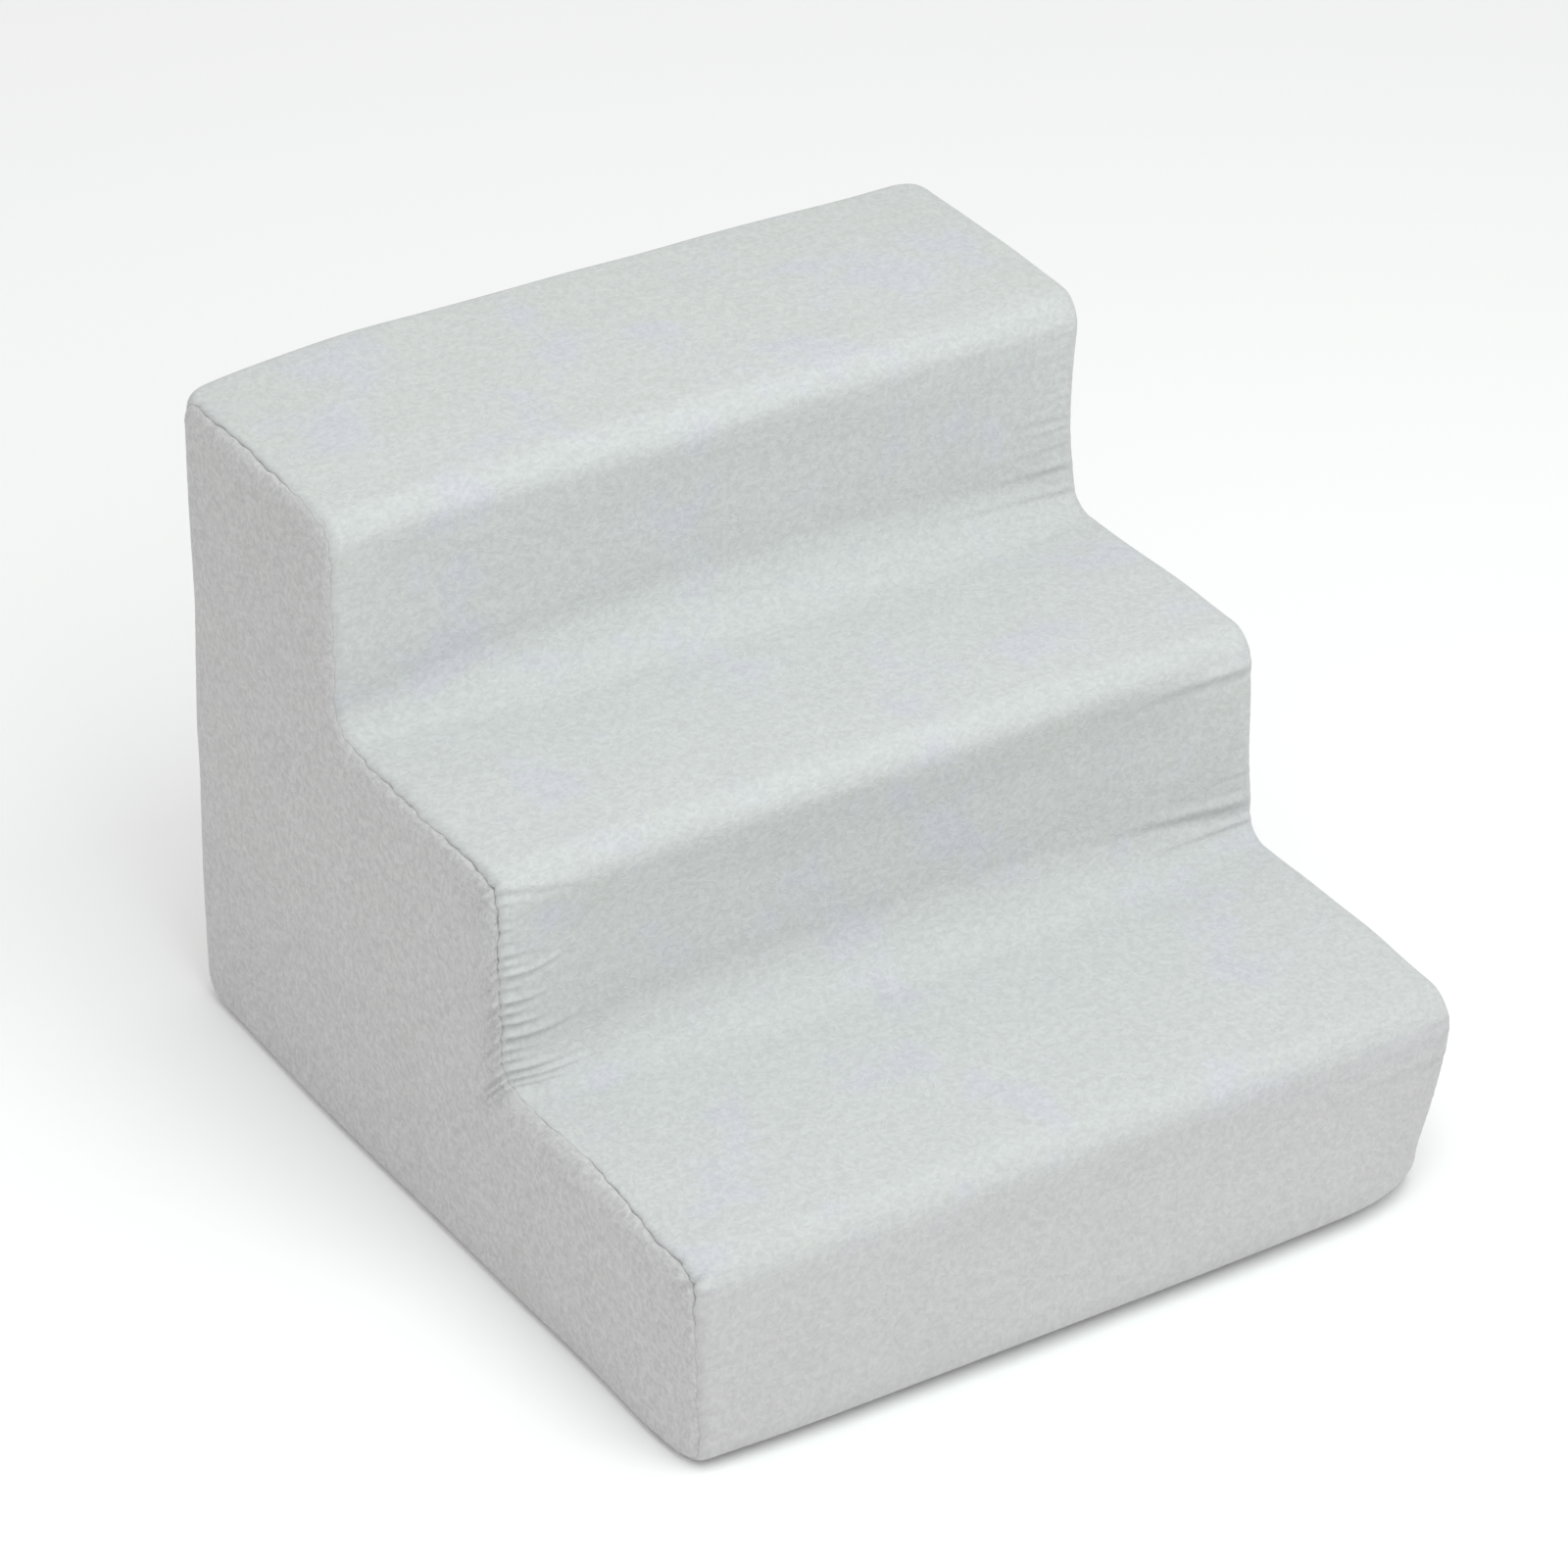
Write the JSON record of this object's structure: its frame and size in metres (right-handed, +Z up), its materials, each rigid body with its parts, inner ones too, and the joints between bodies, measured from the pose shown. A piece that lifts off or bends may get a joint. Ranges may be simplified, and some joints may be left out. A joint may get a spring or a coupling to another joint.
{
  "type": "pet stairs",
  "caption": "Low foam pet stairs with three soft steps in a removable fabric cover that zips across the back; stands on its flat anti-slip base",
  "frame": {"origin": "on the floor under the middle of the stairs' bounding box", "axes": "+Z up; -Y is the front, with the lowest step; +Y is the back, with the zip; -X is the left side seen from the front"},
  "size_m": [0.374, 0.4294, 0.3042],
  "materials": {
    "foam": "matte",
    "cover_fabric": "matte",
    "anti_slip_fabric": "matte",
    "zip_tape": "matte",
    "zip_teeth": "satin",
    "zip_metal": "satin"
  },
  "bodies": {
    "stairs": {"foam_base": "foam", "foam_middle": "foam", "foam_top": "foam", "cover_steps": "cover_fabric", "cover_left_side": "cover_fabric", "cover_right_side": "cover_fabric", "cover_back": "cover_fabric", "cover_back_hem": "cover_fabric", "cover_base": "anti_slip_fabric", "zip_upper_tape": "zip_tape", "zip_lower_tape": "zip_tape", "zip_upper_teeth": "zip_teeth", "zip_lower_teeth": "zip_teeth", "zip_top_stops": "zip_teeth", "zip_bottom_stop": "zip_teeth"},
    "slider": {"zip_slider": "zip_metal"},
    "pull": {"zip_pull": "zip_metal"}
  },
  "joints": [
    {"name": "zip_slide", "type": "slide", "parent": "stairs", "child": "slider", "axis": [1, 0, 0], "range_m": [0, 0.2935], "deforming": ["zip_upper_teeth", "zip_lower_teeth"]},
    {"name": "pull_swing", "type": "hinge", "parent": "slider", "child": "pull", "pos_m": [-0.15025, 0.21257, 0.042], "axis": [0, 0, 1], "range_deg": [0, 180]}
  ]
}
